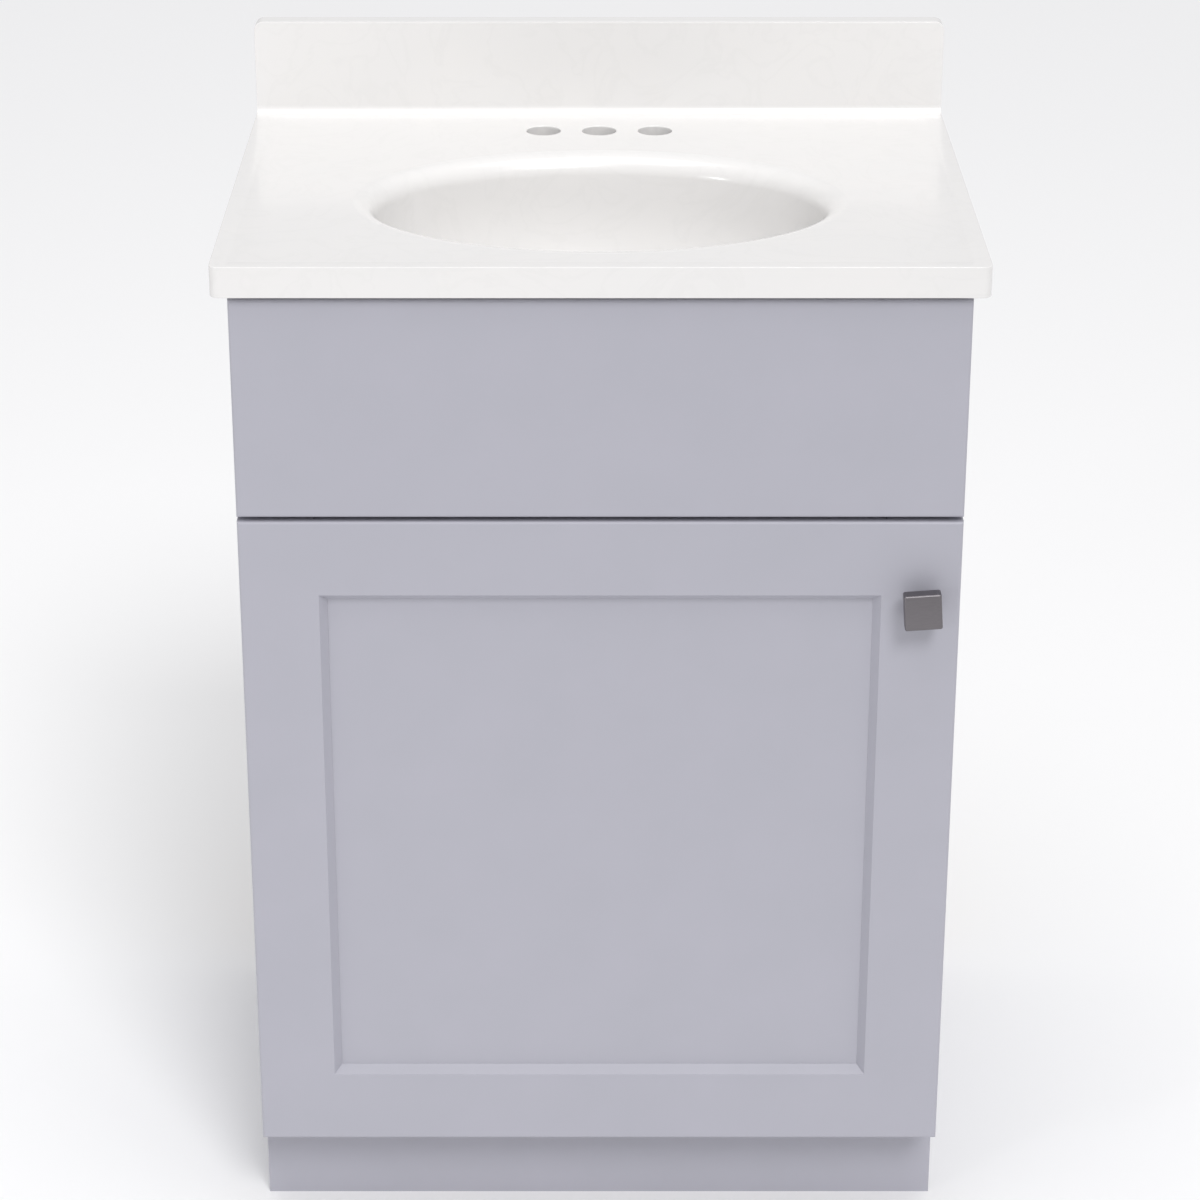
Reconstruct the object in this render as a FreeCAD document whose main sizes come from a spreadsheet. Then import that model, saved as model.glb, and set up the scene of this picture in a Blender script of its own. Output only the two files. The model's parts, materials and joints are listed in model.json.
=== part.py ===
"""Bathroom vanity cabinet, 24 in wide, with a one-piece cultured marble top.

Millimetres. +Z is up, the front faces -Y and +X is to the right of someone facing it.
The origin is on the floor at the centre of the whole object's box: left to right, and from
the knob's face at the front to the wall at the back.
"""
import FreeCAD, Part
import math
import os

import Sketcher

doc = FreeCAD.newDocument("vanity")

# ---------------------------------------------------------------------------------------
# Driving dimensions
# ---------------------------------------------------------------------------------------
SIZES = [
    # the cabinet as a whole
    ("cabinet_width", 609.6),        # outside of side panel to outside of side panel
    ("cabinet_height", 889.0),       # floor to the underside of the top
    ("panel_thickness", 12.7),       # sides, bottom and back rails
    ("toe_height", 89.0),            # height of the toe space under the door
    ("toe_recess", 50.0),            # toe-kick's face behind the door's face
    ("toe_board_thickness", 12.7),
    ("back_rail_height", 89.0),
    ("dado_depth", 4.0),             # how far the bottom panel is let into the sides
    ("brace_leg", 76.0),             # corner brace along each wall
    ("brace_tip", 12.0),             # blunt end of a brace
    ("brace_thickness", 16.0),
    # face frame
    ("frame_stile_width", 31.75),
    ("frame_rail_height", 38.1),
    ("frame_thickness", 19.05),
    ("dowel_diameter", 8.0),
    ("dowel_length", 40.0),
    ("dowel_spacing", 18.0),
    # door and false front
    ("false_front_height", 191.0),
    ("reveal_gap", 4.0),             # gaps above the false front and above the door
    ("side_reveal", 1.0),            # door's edge inside the cabinet's side
    ("door_thickness", 19.05),
    ("bumper_gap", 3.0),             # door's back to the face frame
    ("door_face_width", 66.7),       # flat of the door's stiles and rails
    ("sticking_width", 6.5),         # bevel round the panel, across the face
    ("sticking_depth", 8.0),         # and into the face
    ("groove_depth", 10.0),
    ("door_panel_thickness", 6.35),
    ("panel_clearance", 0.15),       # panel in its groove, each side
    ("panel_float", 1.5),            # panel's edge short of the groove's bottom
    ("edge_round", 2.5),             # eased front edges
    ("hinge_edge_round", 4.0),       # door's back edge beside the hinges
    # knob
    ("knob_size", 31.75),            # square head
    ("knob_head_thickness", 14.0),
    ("knob_edge_round", 1.6),
    ("knob_projection", 27.0),       # door's face to the knob's face
    ("knob_base_diameter", 19.0),
    ("knob_base_thickness", 3.0),
    ("knob_neck_diameter", 13.0),
    ("knob_neck_top", 15.0),         # neck's diameter where it meets the head
    ("knob_drop", 72.0),             # below the door's top edge
    ("knob_turn", 4.0),              # degrees, as a knob on one screw sits
    ("knob_screw_diameter", 4.0),
    ("knob_screw_depth", 10.0),      # screw in the knob
    ("knob_screw_clearance", 0.2),   # radial, in the door
    ("knob_screw_head", 8.8),
    ("knob_screw_head_top", 8.0),
    ("knob_screw_head_gap", 0.9),    # screw's head to the face frame
    ("knob_screw_slot_width", 1.0),
    ("knob_screw_slot_depth", 1.2),
    # hinges
    ("hinge_from_end", 89.0),        # hinge's centre from the door's end
    ("cup_diameter", 35.0),
    ("cup_tab", 4.0),                # wood between the cup and the door's edge
    ("cup_depth", 13.5),
    ("cup_wall", 1.2),
    ("cup_fit", 0.1),                # cup in its bore
    ("flange_thickness", 1.0),
    ("flange_rim", 2.0),
    ("flange_height", 62.0),
    ("flange_ear_width", 13.0),
    ("cup_screw_spacing", 48.0),
    ("cup_screw_offset", 6.0),       # screws from the cup's centre
    ("pin_setback", 9.0),            # hinge pin from the door's edge
    ("pin_depth", 9.0),              # hinge pin from the door's back face
    ("pin_diameter", 2.8),
    ("pin_clearance", 0.05),         # radial, in the arm's knuckle
    ("knuckle_diameter", 4.4),
    ("arm_width", 10.0),
    ("arm_thickness", 2.1),
    ("arm_drop", 0.5),               # arm's upper side below the pin's centre
    ("arm_cup_clearance", 0.5),      # arm's riser to the cup's wall
    ("arm_run_clearance", 0.1),      # arm to the flange and to the face frame
    ("arm_plate_height", 44.0),
    ("arm_plate_margin", 1.5),       # plate's edges inside the face frame's edges
    ("arm_screw_spacing", 30.0),
    ("lug_thickness", 2.5),
    ("lug_clearance", 0.3),          # beside the arm
    ("lug_length", 5.1),
    ("lug_offset", 0.4),             # lug's middle from the pin, away from the door's edge
    ("flange_trim", 0.5),            # flange's edge inside the cup's outer wall
    ("cup_screw_length", 12.0),
    ("arm_screw_length", 18.0),
    ("cleat_screw_length", 32.0),
    ("screw_diameter", 3.5),
    ("screw_head_diameter", 6.6),
    ("screw_head_top", 4.6),
    ("screw_head_height", 1.4),
    ("screw_tip", 0.6),
    ("screw_slot_depth", 0.85),
    ("screw_slot_length", 3.3),
    ("screw_slot_width", 0.9),
    # false front's fixings
    ("cleat_width", 19.05),
    ("cleat_gap", 2.0),              # cleat's ends clear of the rails
    ("cleat_screw_spacing", 70.0),
    ("pad_diameter", 10.0),
    ("bumper_top_diameter", 7.0),
    ("bumper_clearance", 0.05),      # door bumper to the face frame, door shut
    ("pad_inset", 16.0),             # pads and door bumpers from the edges
    # vanity top
    ("top_side_overhang", 12.7),     # top's end beyond the cabinet's side
    ("top_depth", 483.0),            # front edge to the wall
    ("top_nose", 8.0),               # front edge ahead of the door's face
    ("top_edge_height", 25.4),
    ("deck_thickness", 17.0),
    ("top_rim_width", 36.0),         # full-height band round the underside
    ("top_front_rim_width", 46.0),   # and along its front
    ("top_edge_round", 3.0),
    ("top_corner_round", 8.0),
    ("backsplash_rise", 86.0),
    ("backsplash_thickness", 19.0),
    ("cove_radius", 8.0),
    # bowl
    ("bowl_width", 420.0),
    ("bowl_length", 284.0),          # front to back
    ("bowl_depth", 134.0),
    ("bowl_wall", 8.0),
    ("bowl_rim_round", 20.0),
    ("bowl_setback", 191.0),         # bowl's centre behind the front edge
    ("drain_diameter", 44.5),
    ("drain_flat", 62.0),            # level circle round the drain hole
    ("faucet_diameter", 31.0),
    ("faucet_pitch", 50.8),
    ("faucet_setback", 59.0),        # holes ahead of the backsplash's face
]

sheet = doc.addObject("Spreadsheet::Sheet", "size")
for row, (alias, value) in enumerate(SIZES, start=1):
    sheet.set(f"A{row}", alias)
    sheet.set(f"B{row}", str(value))
    sheet.setAlias(f"B{row}", alias)
doc.recompute()


def number(expression):
    """The value of an expression on the sheet's cells."""
    return float(sheet.evalExpression(expression))


# Planes that pieces share, as expressions on the sheet
WALL = "((size.top_depth + size.knob_projection - size.top_nose) / 2)"
TOP_FRONT = f"({WALL} - size.top_depth)"
DOOR_FACE = f"({TOP_FRONT} + size.top_nose)"
DOOR_BACK = f"({DOOR_FACE} + size.door_thickness)"
FRAME_FACE = f"({DOOR_BACK} + size.bumper_gap)"
FRAME_BACK = f"({FRAME_FACE} + size.frame_thickness)"
FRAME_MIDDLE = f"({FRAME_FACE} + size.frame_thickness / 2)"
TOE_FACE = f"({DOOR_FACE} + size.toe_recess)"
TOE_BACK = f"({TOE_FACE} + size.toe_board_thickness)"
BACKSPLASH_FACE = f"({WALL} - size.backsplash_thickness)"

HALF_WIDTH = "(size.cabinet_width / 2)"
INSIDE = f"({HALF_WIDTH} - size.panel_thickness)"
OPENING = f"({HALF_WIDTH} - size.frame_stile_width)"
DOOR_LEFT = f"(size.side_reveal - {HALF_WIDTH})"
DOOR_WIDTH = "(size.cabinet_width - 2 * size.side_reveal)"

DOOR_BOTTOM = "size.toe_height"
FALSE_FRONT_BOTTOM = "(size.cabinet_height - size.reveal_gap - size.false_front_height)"
DOOR_TOP = f"({FALSE_FRONT_BOTTOM} - size.reveal_gap)"
DOOR_HEIGHT = f"({DOOR_TOP} - {DOOR_BOTTOM})"
MIDDLE_RAIL_BOTTOM = f"({DOOR_TOP} + size.reveal_gap / 2 - size.frame_rail_height / 2)"
MIDDLE_RAIL_TOP = f"({MIDDLE_RAIL_BOTTOM} + size.frame_rail_height)"
TOP_RAIL_BOTTOM = "(size.cabinet_height - size.frame_rail_height)"
DECK = "(size.cabinet_height + size.top_edge_height)"
TOP_HALF_WIDTH = f"({HALF_WIDTH} + size.top_side_overhang)"

HINGE_HEIGHTS = {
    "lower": f"({DOOR_BOTTOM} + size.hinge_from_end)",
    "upper": f"({DOOR_TOP} - size.hinge_from_end)",
}
PIN_X = f"({DOOR_LEFT} + size.pin_setback)"
PIN_Y = f"({DOOR_BACK} - size.pin_depth)"
CUP_X = f"({DOOR_LEFT} + size.cup_tab + size.cup_diameter / 2)"
CUP_SCREW_X = f"({CUP_X} + size.cup_screw_offset)"
KNOB_X = f"(-{DOOR_LEFT} - size.door_face_width / 2)"
KNOB_Z = f"({DOOR_TOP} - size.knob_drop)"

PAST = "1"             # how far a cutting tool reaches past the face that it opens
TOLERANCE = 0.01       # when places are compared

nodes = []


# ---------------------------------------------------------------------------------------
# Helpers
# ---------------------------------------------------------------------------------------
def keep(label, piece):
    """Names a finished piece, so that it is written to a file of that name."""
    piece.Label = label
    nodes.append(piece)
    return piece


def bind(piece, **sizes):
    for name, expression in sizes.items():
        piece.setExpression(name, str(expression))
    return piece


def place(piece, x="0", y="0", z="0", turn=None):
    if turn is not None:
        piece.Placement = FreeCAD.Placement(FreeCAD.Vector(), turn)
    for name, expression in zip("xyz", (x, y, z)):
        piece.setExpression(f"Placement.Base.{name}", str(expression))
    return piece


def turned(axis, degrees):
    return FreeCAD.Rotation(FreeCAD.Vector(*axis), degrees)


ALONG_X = turned((0, 1, 0), 90)
ALONG_BACK = turned((1, 0, 0), -90)      # +Z turned to +Y, into the cabinet
ALONG_FRONT = turned((1, 0, 0), 90)      # +Z turned to -Y, out of the cabinet


def box(x, y, z, wide, deep, tall):
    piece = doc.addObject("Part::Box", "box")
    bind(piece, Length=wide, Width=deep, Height=tall)
    return place(piece, x, y, z)


def rod(diameter, length, x="0", y="0", z="0", turn=None):
    piece = doc.addObject("Part::Cylinder", "rod")
    bind(piece, Radius=f"{diameter} / 2", Height=length)
    return place(piece, x, y, z, turn)


def taper(base, end, length, x="0", y="0", z="0", turn=None):
    piece = doc.addObject("Part::Cone", "taper")
    bind(piece, Radius1=f"{base} / 2", Radius2=f"{end} / 2", Height=length)
    return place(piece, x, y, z, turn)


def fused(*pieces):
    result = doc.addObject("Part::MultiFuse", "fused")
    result.Shapes = list(pieces)
    result.Refine = True
    return result


def cut(piece, *tools):
    """The piece with each tool's shape taken out, so that what seats in it fits."""
    for tool in tools:
        result = doc.addObject("Part::Cut", "cut")
        result.Base = piece
        result.Tool = tool
        result.Refine = True
        piece = result
    return piece


def grouped(pieces):
    result = doc.addObject("Part::Compound", "group")
    result.Links = pieces
    return result


def linked(piece, x="0", y="0", z="0", turn=None):
    """The same piece again in another place."""
    copy = doc.addObject("App::Link", "copy")
    copy.LinkedObject = piece
    return place(copy, x, y, z, turn)


def edges_where(piece, test):
    """Numbers of the edges whose every vertex, and middle, passes the test."""
    found = []
    for index, edge in enumerate(piece.Shape.Edges, start=1):
        points = [vertex.Point for vertex in edge.Vertexes]
        middle = (edge.FirstParameter + edge.LastParameter) / 2
        points.append(edge.valueAt(middle))
        if all(test(point) for point in points):
            found.append(index)
    return found


def near(value, expression):
    return abs(value - number(expression)) < TOLERANCE


def eased(piece, radius, test):
    """The piece with a round of that radius on the edges that pass the test."""
    doc.recompute()
    result = doc.addObject("Part::Fillet", "eased")
    result.Base = piece
    size = number(radius)
    result.Edges = [(index, size, size) for index in edges_where(piece, test)]
    return result


def sketch(body, plane, points):
    """A closed outline on one of the body's own planes; its points are pairs of expressions."""
    outline = body.newObject("Sketcher::SketchObject", "outline")
    origin_planes = body.Origin.OriginFeatures
    outline.AttachmentSupport = [(p, "") for p in origin_planes if p.Role == plane]
    outline.MapMode = "FlatFace"
    corners = [FreeCAD.Vector(number(a), number(b), 0) for a, b in points]
    count = len(corners)
    for index, corner in enumerate(corners):
        outline.addGeometry(Part.LineSegment(corner, corners[(index + 1) % count]), False)
    for index in range(count):
        outline.addConstraint(Sketcher.Constraint("Coincident", index, 2, (index + 1) % count, 1))
    for index, (across, along) in enumerate(points):
        for kind, expression in (("DistanceX", across), ("DistanceY", along)):
            value = number(expression)
            named = outline.addConstraint(Sketcher.Constraint(kind, -1, 1, index, 1, value))
            outline.setExpression(f"Constraints[{named}]", expression)
    return outline


def padded(name, plane, points, length):
    """A body: one outline on one of its origin planes, padded by a length."""
    body = doc.addObject("PartDesign::Body", f"{name}_blank")
    outline = sketch(body, plane, points)
    pad = body.newObject("PartDesign::Pad", "pad")
    pad.Profile = outline
    pad.setExpression("Length", length)
    return body


# ---------------------------------------------------------------------------------------
# Screws, dowels and pins
# ---------------------------------------------------------------------------------------
def wood_screw(length):
    """A pan-head screw that points along +Z from the underside of its head at z = 0."""
    point = "size.screw_diameter"
    shank_length = f"({length} - {point})"
    head = taper("size.screw_head_top", "size.screw_head_diameter",
                 "size.screw_head_height", z="-size.screw_head_height")
    shank = rod("size.screw_diameter", shank_length)
    tip = taper("size.screw_diameter", "size.screw_tip", point, z=shank_length)
    solid = fused(head, shank, tip)
    long_side, short_side = "size.screw_slot_length", "size.screw_slot_width"
    slots = []
    for wide, deep in ((long_side, short_side), (short_side, long_side)):
        slots.append(box(f"-{wide} / 2", f"-{deep} / 2", f"-size.screw_head_height - {PAST}",
                         wide, deep, f"size.screw_slot_depth + {PAST}"))
    return cut(solid, *slots)


short_screw = wood_screw("size.cup_screw_length")
arm_screw = wood_screw("size.arm_screw_length")
cleat_screw = wood_screw("size.cleat_screw_length")

cup_screws = []
arm_screws = []
for height in HINGE_HEIGHTS.values():
    for side in (-1, 1):
        cup_screws.append(linked(
            short_screw, CUP_SCREW_X, f"{DOOR_BACK} + size.flange_thickness",
            f"{height} + {side} * size.cup_screw_spacing / 2", ALONG_FRONT))
        arm_screws.append(linked(
            arm_screw, f"-{OPENING} + size.arm_thickness", FRAME_MIDDLE,
            f"{height} + {side} * size.arm_screw_spacing / 2", turned((0, 1, 0), -90)))
hinge_cup_screws = keep("hinge_cup_screws", grouped(cup_screws))
hinge_arm_screws = keep("hinge_arm_screws", grouped(arm_screws))

# Two dowels hold each end of each face frame rail
RAIL_CENTRES = (
    f"({DOOR_BOTTOM} + size.frame_rail_height / 2)",
    f"({MIDDLE_RAIL_BOTTOM} + size.frame_rail_height / 2)",
    f"({TOP_RAIL_BOTTOM} + size.frame_rail_height / 2)",
)
dowels = []
for centre in RAIL_CENTRES:
    for side in (-1, 1):
        for end in (-1, 1):
            dowels.append(rod(
                "size.dowel_diameter", "size.dowel_length",
                f"{side} * {OPENING} - size.dowel_length / 2", FRAME_MIDDLE,
                f"{centre} + {end} * size.dowel_spacing / 2", ALONG_X))
frame_dowels = keep("frame_dowels", grouped(dowels))

# The false front's cleats are screwed to it from behind and to the frame's stiles sideways
CLEAT_BOTTOM = f"({MIDDLE_RAIL_TOP} + size.cleat_gap)"
CLEAT_HEIGHT = f"({TOP_RAIL_BOTTOM} - {MIDDLE_RAIL_TOP} - 2 * size.cleat_gap)"
CLEAT_MIDDLE = f"({CLEAT_BOTTOM} + {CLEAT_HEIGHT} / 2)"
CLEAT_MIDLINE = f"({OPENING} - size.cleat_width / 2)"
cleat_screws = []
for side in (-1, 1):
    for end in (-1, 1):
        level = f"{CLEAT_MIDDLE} + {end} * size.cleat_screw_spacing / 2"
        cleat_screws.append(linked(
            cleat_screw, f"{side} * {CLEAT_MIDLINE}", FRAME_BACK, level, ALONG_FRONT))
        cleat_screws.append(linked(
            cleat_screw, f"{side} * ({OPENING} - size.cleat_width)",
            FRAME_MIDDLE, f"{CLEAT_MIDDLE} + {end} * size.cleat_screw_spacing / 4",
            turned((0, 1, 0), 90 * side)))
false_front_screws = keep("false_front_screws", grouped(cleat_screws))


# ---------------------------------------------------------------------------------------
# Carcass
# ---------------------------------------------------------------------------------------
bottom_panel = keep("bottom_panel", box(
    f"-{INSIDE} - size.dado_depth", FRAME_BACK, DOOR_BOTTOM,
    f"2 * ({INSIDE} + size.dado_depth)", f"{WALL} - {FRAME_BACK}", "size.panel_thickness"))


def side_panel(name, left_face):
    """A side with its toe notch at the front and its dado for the bottom panel."""
    outline = [
        (FRAME_BACK, DOOR_BOTTOM),
        (TOE_BACK, DOOR_BOTTOM),
        (TOE_BACK, "0"),
        (WALL, "0"),
        (WALL, "size.cabinet_height"),
        (FRAME_BACK, "size.cabinet_height"),
    ]
    body = padded(name, "YZ_Plane", outline, "size.panel_thickness")
    place(body, x=left_face)
    return keep(name, cut(body, bottom_panel))


side_panel("side_panel_left", f"-{HALF_WIDTH}")
side_panel("side_panel_right", INSIDE)

for name, bottom in (
        ("back_rail_upper", "size.cabinet_height - size.back_rail_height"),
        ("back_rail_lower", f"{DOOR_BOTTOM} + size.panel_thickness")):
    keep(name, box(f"-{INSIDE}", f"{WALL} - size.panel_thickness", bottom,
                   f"2 * {INSIDE}", "size.panel_thickness", "size.back_rail_height"))
keep("toe_kick_board", box(f"-{HALF_WIDTH}", TOE_FACE, "0",
                           "size.cabinet_width", "size.toe_board_thickness", DOOR_BOTTOM))
keep("toe_kick_back_rail", box(f"-{INSIDE}", f"{WALL} - size.panel_thickness", "0",
                               f"2 * {INSIDE}", "size.panel_thickness", DOOR_BOTTOM))


def corner_brace(name, corner_x, corner_y, right, back):
    """A three-cornered block under the top; right and back are +1 or -1 from its corner."""
    outline = [
        ("0", "0"),
        (f"{right} * size.brace_leg", "0"),
        (f"{right} * size.brace_leg", f"{back} * size.brace_tip"),
        (f"{right} * size.brace_tip", f"{back} * size.brace_leg"),
        ("0", f"{back} * size.brace_leg"),
    ]
    body = padded(name, "XY_Plane", outline, "size.brace_thickness")
    place(body, corner_x, corner_y, "size.cabinet_height - size.brace_thickness")
    return keep(name, body)


corner_brace("corner_brace_front_left", f"-{INSIDE}", FRAME_BACK, 1, 1)
corner_brace("corner_brace_front_right", INSIDE, FRAME_BACK, -1, 1)
corner_brace("corner_brace_back_left", f"-{INSIDE}", f"{WALL} - size.panel_thickness", 1, -1)
corner_brace("corner_brace_back_right", INSIDE, f"{WALL} - size.panel_thickness", -1, -1)

# ---------------------------------------------------------------------------------------
# Face frame
# ---------------------------------------------------------------------------------------
FRAME_HEIGHT = f"(size.cabinet_height - {DOOR_BOTTOM})"
for name, left in (("frame_stile_left", f"-{HALF_WIDTH}"), ("frame_stile_right", OPENING)):
    stile = box(left, FRAME_FACE, DOOR_BOTTOM,
                "size.frame_stile_width", "size.frame_thickness", FRAME_HEIGHT)
    tools = [frame_dowels, false_front_screws]
    if name == "frame_stile_left":
        tools.append(hinge_arm_screws)
    keep(name, cut(stile, *tools))
for name, bottom in (
        ("frame_rail_top", TOP_RAIL_BOTTOM),
        ("frame_rail_middle", MIDDLE_RAIL_BOTTOM),
        ("frame_rail_bottom", DOOR_BOTTOM)):
    rail = box(f"-{OPENING}", FRAME_FACE, bottom,
               f"2 * {OPENING}", "size.frame_thickness", "size.frame_rail_height")
    keep(name, cut(rail, frame_dowels))

# ---------------------------------------------------------------------------------------
# False drawer front, fixed
# ---------------------------------------------------------------------------------------
front = box(DOOR_LEFT, DOOR_FACE, FALSE_FRONT_BOTTOM,
            DOOR_WIDTH, "size.door_thickness", "size.false_front_height")
front = eased(front, "size.edge_round", lambda point: near(point.y, DOOR_FACE))
keep("false_drawer_front", cut(front, false_front_screws))
for name, left in (
        ("false_front_cleat_left", f"-{OPENING}"),
        ("false_front_cleat_right", f"{OPENING} - size.cleat_width")):
    cleat = box(left, DOOR_BACK, CLEAT_BOTTOM,
                "size.cleat_width", f"{FRAME_BACK} - {DOOR_BACK}", CLEAT_HEIGHT)
    keep(name, cut(cleat, false_front_screws))

PAD_X = f"(-{DOOR_LEFT} - size.pad_inset)"
pads = []
for side in (-1, 1):
    for level in (f"{FALSE_FRONT_BOTTOM} + size.pad_inset / 2",
                  f"{FALSE_FRONT_BOTTOM} + size.false_front_height - size.pad_inset"):
        pads.append(rod("size.pad_diameter", "size.bumper_gap",
                        f"{side} * {PAD_X}", DOOR_BACK, level, ALONG_BACK))
keep("false_front_pads", grouped(pads))

# ---------------------------------------------------------------------------------------
# Door: two stiles, two rails coped over them, and a panel that floats in their groove
# ---------------------------------------------------------------------------------------
MEMBER_WIDTH = "(size.door_face_width + size.sticking_width)"
GROOVE_FRONT = "size.sticking_depth"
GROOVE_WIDTH = "(size.door_panel_thickness + 2 * size.panel_clearance)"
GROOVE_BACK = f"({GROOVE_FRONT} + {GROOVE_WIDTH})"
GROOVE_BOTTOM = f"({MEMBER_WIDTH} - size.groove_depth)"


def member_outline(side):
    """A stile's or rail's section: across its width, then back from the door's face."""
    return [
        ("0", "0"),
        (f"{side} * size.door_face_width", "0"),
        (f"{side} * {MEMBER_WIDTH}", GROOVE_FRONT),
        (f"{side} * {GROOVE_BOTTOM}", GROOVE_FRONT),
        (f"{side} * {GROOVE_BOTTOM}", GROOVE_BACK),
        (f"{side} * {MEMBER_WIDTH}", GROOVE_BACK),
        (f"{side} * {MEMBER_WIDTH}", "size.door_thickness"),
        ("0", "size.door_thickness"),
    ]


def door_stile(name, edge, side):
    body = padded(name, "XY_Plane", member_outline(side), DOOR_HEIGHT)
    place(body, edge, DOOR_FACE, DOOR_BOTTOM)

    def on_outer_edge(point):
        at_edge = near(point.x, edge) or near(point.z, DOOR_BOTTOM) or near(point.z, DOOR_TOP)
        return near(point.y, DOOR_FACE) and at_edge

    return eased(body, "size.edge_round", on_outer_edge)


stile_left = door_stile("stile_left_body", DOOR_LEFT, 1)
stile_right = door_stile("stile_right_body", f"-{DOOR_LEFT}", -1)
stile_left = eased(stile_left, "size.hinge_edge_round",
                   lambda point: near(point.x, DOOR_LEFT) and near(point.y, DOOR_BACK))

FIT_DIAMETER = "(size.cup_diameter + 2 * size.cup_fit)"
cup_bores = []
for height in HINGE_HEIGHTS.values():
    cup_bores.append(rod(FIT_DIAMETER, "size.cup_depth + size.cup_fit",
                         CUP_X, DOOR_BACK, height, ALONG_FRONT))
KNOB_SCREW_LENGTH = "(size.door_thickness + size.knob_screw_depth)"
knob_screw_hole = rod("(size.knob_screw_diameter + 2 * size.knob_screw_clearance)",
                      "size.door_thickness", KNOB_X, DOOR_BACK, KNOB_Z, ALONG_FRONT)
keep("door_stile_left", cut(stile_left, grouped(cup_bores), hinge_cup_screws))
keep("door_stile_right", cut(stile_right, knob_screw_hole))


def door_rail(name, edge, side):
    """A rail with stub tenons, coped to both stiles; side is +1 if its face looks up."""
    length = f"({DOOR_WIDTH} - 2 * size.door_face_width)"
    # on the YZ plane the outline is (back, up), and the pad runs along +X
    outline = [(back, across) for across, back in member_outline(side)]
    body = padded(name, "YZ_Plane", outline, length)
    place(body, f"{DOOR_LEFT} + size.door_face_width", DOOR_FACE, edge)
    rail = eased(body, "size.edge_round",
                 lambda point: near(point.y, DOOR_FACE) and near(point.z, edge))
    reach = f"({MEMBER_WIDTH} - {GROOVE_BOTTOM} - size.panel_float)"
    tenon_bottom = edge if side > 0 else f"{edge} - {GROOVE_BOTTOM}"
    tenon = box(f"{DOOR_LEFT} + {MEMBER_WIDTH} - {reach}",
                f"{DOOR_FACE} + {GROOVE_FRONT} + size.panel_clearance", tenon_bottom,
                f"{DOOR_WIDTH} - 2 * ({MEMBER_WIDTH} - {reach})",
                "size.door_panel_thickness", GROOVE_BOTTOM)
    return keep(name, cut(fused(rail, tenon), stile_left, stile_right))


door_rail("door_rail_bottom", DOOR_BOTTOM, 1)
door_rail("door_rail_top", DOOR_TOP, -1)

PANEL_EDGE = f"({GROOVE_BOTTOM} + size.panel_float)"
keep("door_panel", box(
    f"{DOOR_LEFT} + {PANEL_EDGE}", f"{DOOR_FACE} + {GROOVE_FRONT} + size.panel_clearance",
    f"{DOOR_BOTTOM} + {PANEL_EDGE}", f"{DOOR_WIDTH} - 2 * {PANEL_EDGE}",
    "size.door_panel_thickness", f"{DOOR_HEIGHT} - 2 * {PANEL_EDGE}"))

bumpers = []
for level in (f"{DOOR_BOTTOM} + size.pad_inset", f"{DOOR_TOP} - size.pad_inset / 2"):
    bumpers.append(taper("size.pad_diameter", "size.bumper_top_diameter",
                         "size.bumper_gap - size.bumper_clearance",
                         PAD_X, DOOR_BACK, level, ALONG_BACK))
keep("door_bumpers", grouped(bumpers))

# ---------------------------------------------------------------------------------------
# Knob
# ---------------------------------------------------------------------------------------
HEAD_BACK = "(size.knob_projection - size.knob_head_thickness)"
head = box("-size.knob_size / 2", "-size.knob_size / 2", HEAD_BACK,
           "size.knob_size", "size.knob_size", "size.knob_head_thickness")
head = eased(head, "size.knob_edge_round", lambda point: True)
base = rod("size.knob_base_diameter", "size.knob_base_thickness")
neck = taper("size.knob_neck_diameter", "size.knob_neck_top",
             f"{HEAD_BACK} + size.knob_edge_round - size.knob_base_thickness",
             z="size.knob_base_thickness")
tapping = rod("size.knob_screw_diameter", "size.knob_screw_depth")
knob = cut(fused(head, base, neck), tapping)
knob_turn = turned((0, 1, 0), -number("size.knob_turn"))
knob_place = knob_turn.multiply(ALONG_FRONT)
keep("knob", place(knob, KNOB_X, DOOR_FACE, KNOB_Z, knob_place))

screw_body = rod("size.knob_screw_diameter", KNOB_SCREW_LENGTH)
HEAD_HEIGHT = "(size.bumper_gap - size.knob_screw_head_gap)"
screw_head = taper("size.knob_screw_head_top", "size.knob_screw_head", HEAD_HEIGHT, z=f"-{HEAD_HEIGHT}")
screw_slot = box("-size.knob_screw_diameter / 2", "-size.knob_screw_slot_width / 2",
                 f"-{HEAD_HEIGHT} - {PAST}", "size.knob_screw_diameter",
                 "size.knob_screw_slot_width", f"size.knob_screw_slot_depth + {PAST}")
knob_screw = cut(fused(screw_body, screw_head), screw_slot)
keep("knob_screw", place(knob_screw, KNOB_X, DOOR_BACK, KNOB_Z, ALONG_FRONT))

# ---------------------------------------------------------------------------------------
# Concealed hinges: a cup let into the door, an arm on the frame's stile and the pin between
# ---------------------------------------------------------------------------------------
CUP_RADIUS = "(size.cup_diameter / 2)"
CUP_INNER = f"({CUP_RADIUS} - size.cup_wall)"
PIN_FROM_CUP = "(size.pin_setback - size.cup_tab - size.cup_diameter / 2)"
ARM_REACH = "(size.frame_stile_width - size.side_reveal - size.pin_setback)"
CUP_REACH = "(size.cup_tab + size.cup_diameter - size.cup_wall - size.pin_setback)"
LUG_START = "(size.arm_width / 2 + size.lug_clearance)"


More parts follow.
